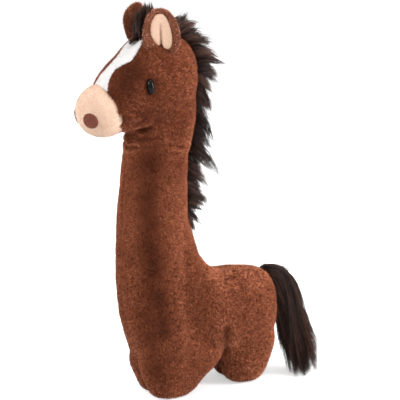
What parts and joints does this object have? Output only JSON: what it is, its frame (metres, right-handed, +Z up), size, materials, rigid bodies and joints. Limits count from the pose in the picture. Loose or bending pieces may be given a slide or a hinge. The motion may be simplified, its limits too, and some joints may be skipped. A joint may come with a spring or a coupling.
{
  "type": "plush horse",
  "caption": "Stuffed toy horse with a tall upright neck and stub legs, whose ears and long-haired tail are hinged.",
  "frame": {"origin": "middle of the toy's box on the floor plane, with the soles of the four feet on Z = 0", "axes": "+Z up, the horse faces -Y, +X is its left side"},
  "size_m": [0.1216, 0.398, 0.6165],
  "materials": {
    "plush_brown": "short plush pile",
    "plush_peach": "short plush pile",
    "plush_white": "short plush pile",
    "thread_brown": "satin-stitched embroidery",
    "fibre_white": "loose polyester fibre stuffing",
    "hair_dark": "long straight artificial hair",
    "weave_dark": "woven backing strip",
    "eye_black": "glossy moulded plastic",
    "washer_white": "moulded plastic"
  },
  "bodies": {
    "horse": {"blaze_panel": "plush_white", "forelock_hair": "hair_dark", "front_left_leg_skin": "plush_brown", "front_left_leg_stuffing": "fibre_white", "front_right_leg_skin": "plush_brown", "front_right_leg_stuffing": "fibre_white", "head_skin": "plush_brown", "head_stuffing": "fibre_white", "hind_left_leg_skin": "plush_brown", "hind_left_leg_stuffing": "fibre_white", "hind_right_leg_skin": "plush_brown", "hind_right_leg_stuffing": "fibre_white", "left_eye": "eye_black", "left_eye_washer": "washer_white", "left_nostril": "thread_brown", "mane_hair": "hair_dark", "mane_strip": "weave_dark", "muzzle_skin": "plush_peach", "muzzle_stuffing": "fibre_white", "neck_skin": "plush_brown", "neck_stuffing": "fibre_white", "right_eye": "eye_black", "right_eye_washer": "washer_white", "right_nostril": "thread_brown", "trunk_skin": "plush_brown", "trunk_stuffing": "fibre_white"},
    "left_ear": {"left_ear_back": "plush_brown", "left_ear_lining": "plush_peach"},
    "right_ear": {"right_ear_back": "plush_brown", "right_ear_lining": "plush_peach"},
    "tail_root": {"tail_root": "plush_brown"},
    "tail": {"tail_hair": "hair_dark", "tail_strip": "weave_dark"}
  },
  "joints": [
    {"name": "left_ear_bend", "type": "hinge", "parent": "horse", "child": "left_ear", "pos_m": [0.03535, -0.07826, 0.56159], "axis": [-0.3868, -0.8688, 0.309], "range_deg": [-25, 12], "stiffness_Nm_per_rad": 0.1},
    {"name": "right_ear_bend", "type": "hinge", "parent": "horse", "child": "right_ear", "pos_m": [-0.03535, -0.07826, 0.56159], "axis": [-0.3868, 0.8688, -0.309], "range_deg": [-25, 12], "stiffness_Nm_per_rad": 0.1},
    {"name": "tail_lift", "type": "hinge", "parent": "horse", "child": "tail_root", "pos_m": [0, 0.12335, 0.1751], "axis": [1, 0, 0], "range_deg": [0, 70]},
    {"name": "tail_sway", "type": "hinge", "parent": "tail_root", "child": "tail", "pos_m": [0, 0.12335, 0.1751], "axis": [0, 1, 0], "range_deg": [-20, 45], "stiffness_Nm_per_rad": 0.1}
  ]
}
